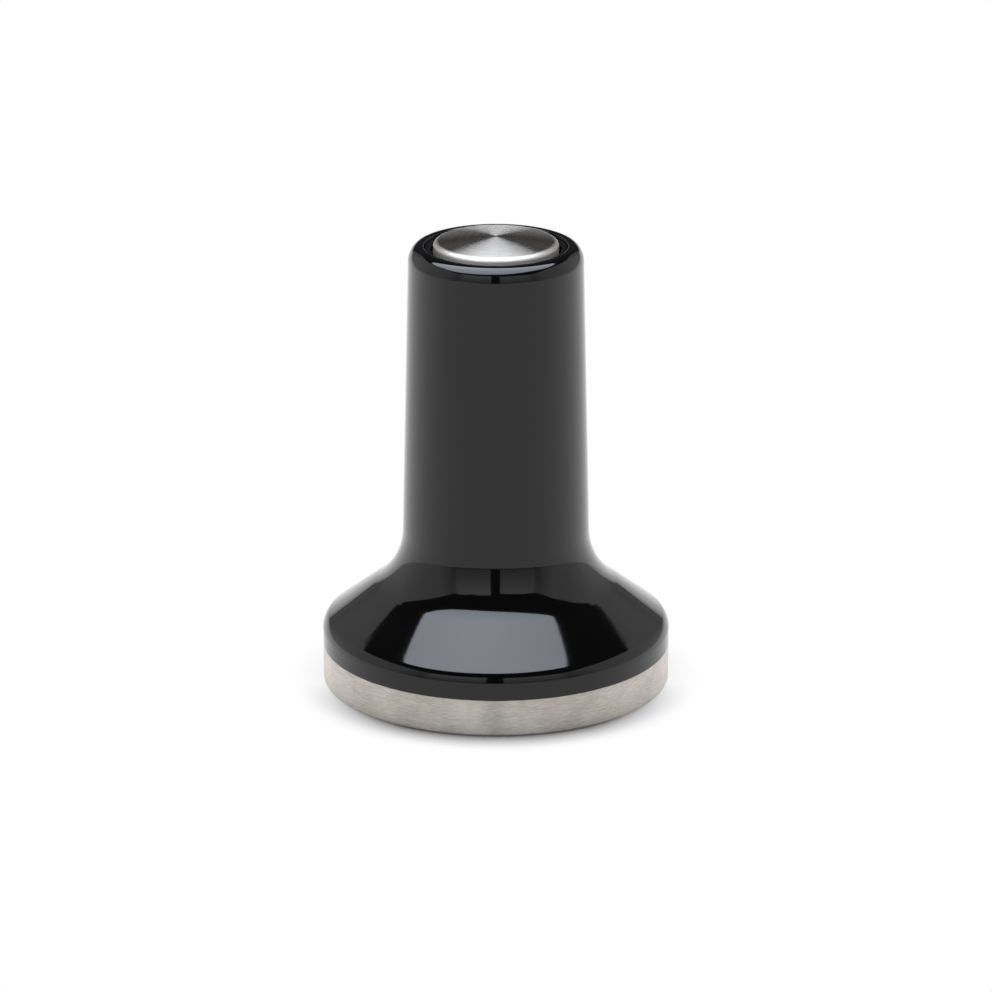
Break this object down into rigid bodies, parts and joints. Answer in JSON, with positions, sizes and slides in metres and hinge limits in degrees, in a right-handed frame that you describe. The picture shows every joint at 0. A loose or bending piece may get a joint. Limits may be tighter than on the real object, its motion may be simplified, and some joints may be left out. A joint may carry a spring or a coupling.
{
  "type": "espresso tamper",
  "caption": "Hand tamper for ground coffee: flared gloss handle, flat brushed steel base, and a sprung domed palm button that sinks level with the rim.",
  "frame": {"origin": "centre of the flat tamping face, which is the part's lowest face", "axes": "+Z along the handle's axis, from the tamping face up to the palm button; X and Y are free, because the outside is a body of revolution"},
  "size_m": [0.0582, 0.0582, 0.0768],
  "materials": {
    "gloss_black_paint": "high gloss",
    "brushed_base_steel": "brushed round the edge",
    "spun_button_steel": "spun, circular grain",
    "black_rubber": "matte",
    "gloss_black_polymer": "gloss",
    "bright_steel": "turned",
    "black_oxide_steel": "black oxide",
    "spring_steel": "drawn wire",
    "turned_brass": "turned",
    "bronze": "sintered",
    "amber_urethane": "satin"
  },
  "bodies": {
    "handle": {"base_plate": "brushed_base_steel", "base_seal": "black_rubber", "drive_pins": "bright_steel", "handle_shell": "gloss_black_paint", "tie_bolt": "black_oxide_steel", "tie_bolt_washer": "bright_steel", "tie_bolt_lock_washer": "black_oxide_steel", "spring_seat": "bright_steel", "calibration_spring": "spring_steel", "return_bumper": "amber_urethane", "stem_bush": "bronze", "stem_wiper": "black_rubber", "preload_nut": "turned_brass", "lock_nut": "turned_brass", "stop_ring": "amber_urethane", "dust_seal": "gloss_black_polymer"},
    "button": {"palm_button": "spun_button_steel", "plunger": "bright_steel", "thrust_washer": "turned_brass", "button_lock_washer": "black_oxide_steel"}
  },
  "joints": [
    {"name": "button_press", "type": "slide", "parent": "handle", "child": "button", "axis": [0, 0, -1], "range_m": [0, 0.0015], "stiffness_N_per_m": 21700, "deforming": ["calibration_spring"]}
  ]
}
